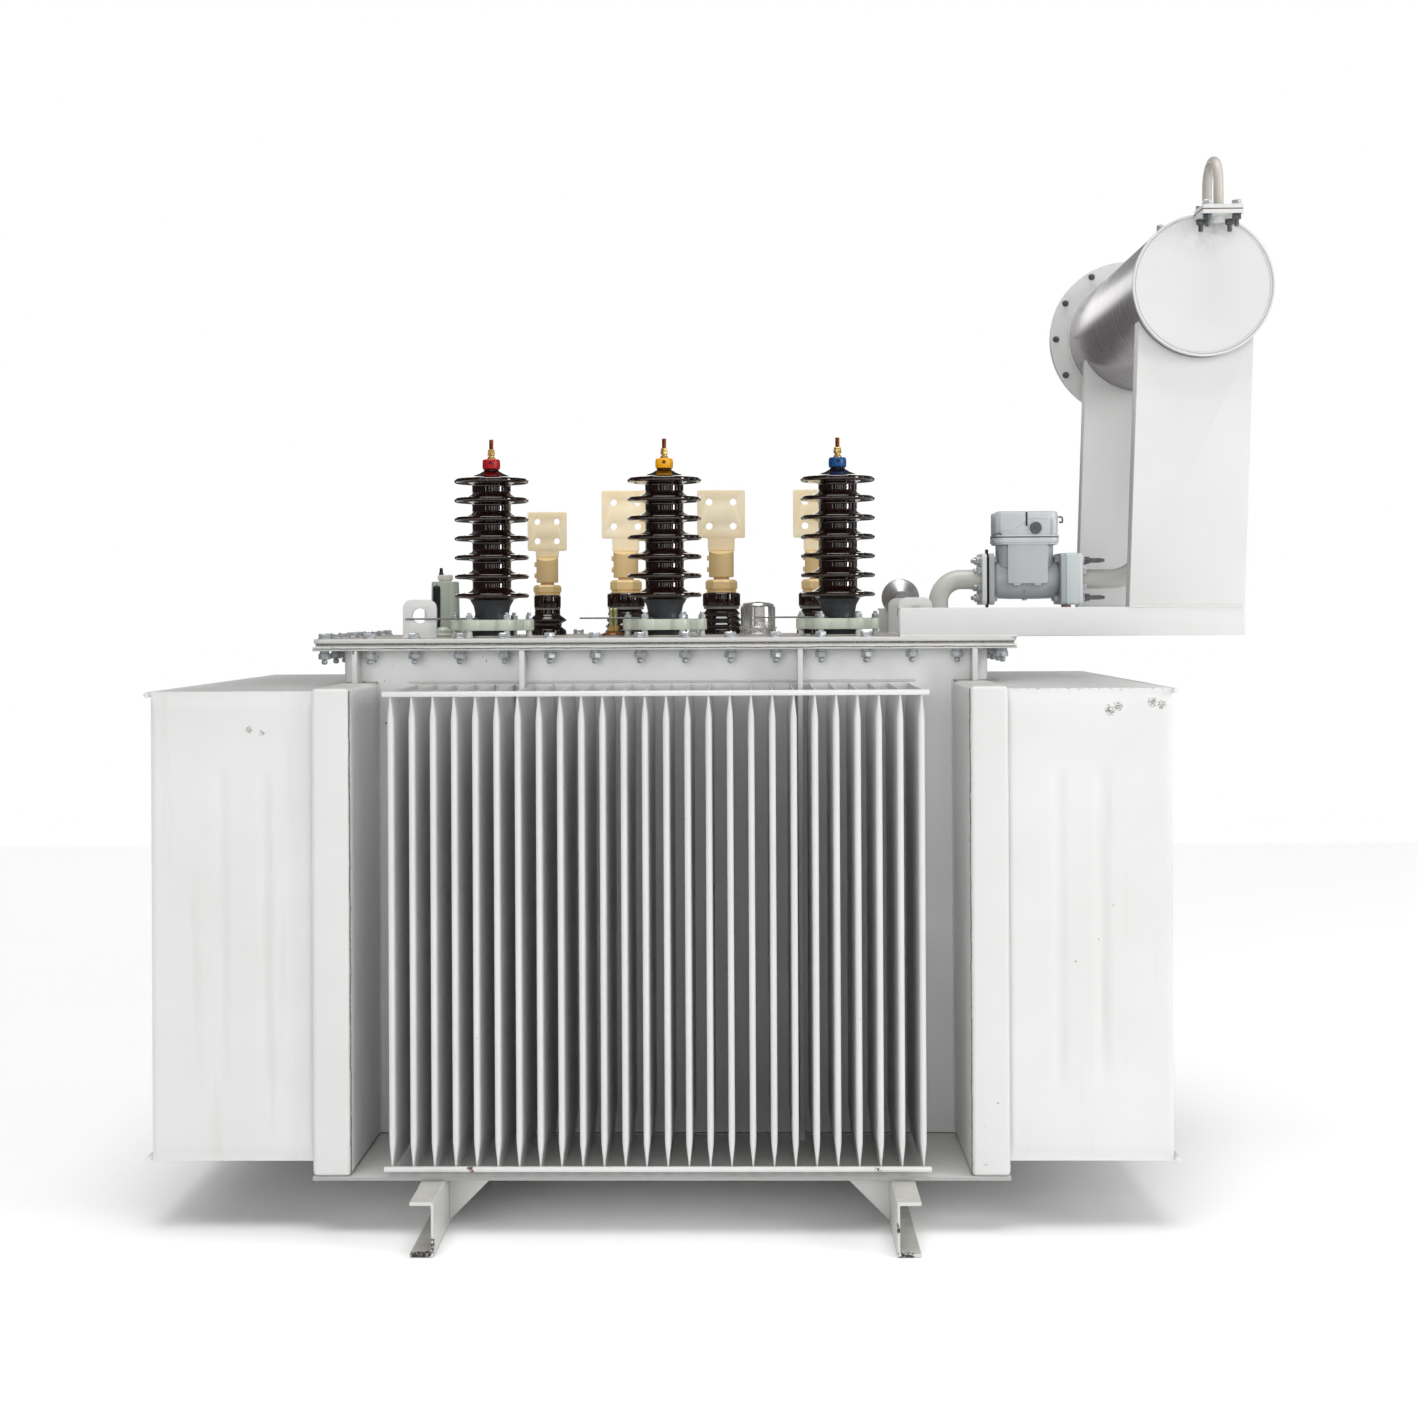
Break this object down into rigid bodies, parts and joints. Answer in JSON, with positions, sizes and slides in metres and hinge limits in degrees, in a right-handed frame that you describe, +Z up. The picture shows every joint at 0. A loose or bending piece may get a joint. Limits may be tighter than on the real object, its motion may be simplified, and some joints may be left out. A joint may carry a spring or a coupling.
{
  "type": "oil-immersed power transformer",
  "caption": "Oil-immersed power transformer: finned tank on skids with bushings on a bolted cover, and a raised oil conservator with gas relay.",
  "frame": {"origin": "on the ground, under the middle of the whole plan outline", "axes": "+Z up, +X along the long side towards the conservator, -Y towards the high-voltage side"},
  "size_m": [2.518, 1.542, 2.327],
  "materials": {
    "paint": "light grey enamel, satin",
    "clamp_casting": "grey-green painted casting",
    "relay_paint": "mid grey painted casting",
    "porcelain": "dark brown glaze, glossy",
    "black_fitting": "matt black",
    "brass": "pale machined brass",
    "red_cap": "glossy",
    "yellow_cap": "glossy",
    "blue_cap": "glossy",
    "chrome": "polished",
    "bare_steel": "bare brushed steel",
    "gasket": "pressed cork and rubber"
  },
  "bodies": {
    "root": {"arcing_rods": "bare_steel", "bottom_plate": "paint", "breather_flange": "paint", "breather_pipe": "paint", "conservator_flange": "paint", "conservator_front_end": "paint", "conservator_plugs": "bare_steel", "conservator_rear_cover": "paint", "conservator_shell": "bare_steel", "cover_gasket": "gasket", "cover_plate": "paint", "disc_valve": "relay_paint", "filler_valve": "brass", "fin_bars": "paint", "front_beam": "paint", "front_fins": "paint", "front_leg": "paint", "hv_bushing_feet": "black_fitting", "hv_bushings": "porcelain", "hv_cap_1": "red_cap", "hv_cap_2": "yellow_cap", "hv_cap_3": "blue_cap", "hv_clamps": "clamp_casting", "hv_terminals": "brass", "left_fins": "paint", "left_header": "paint", "left_skid": "paint", "lifting_lugs": "paint", "lower_pipe": "paint", "lv_bushings": "porcelain", "lv_terminals": "brass", "neutral_bushing": "porcelain", "neutral_terminal": "brass", "pipe_gasket": "gasket", "rear_beam": "paint", "rear_fins": "paint", "rear_leg": "paint", "relay_body": "relay_paint", "relay_head": "relay_paint", "relay_valve": "relay_paint", "relief_dome": "chrome", "right_fins": "paint", "right_header": "paint", "right_skid": "paint", "sensor_head": "clamp_casting", "skid_gussets": "paint", "tank_body": "paint", "tank_flange": "paint", "upper_pipe": "paint", "wall_stiffeners": "paint"}
  },
  "joints": []
}
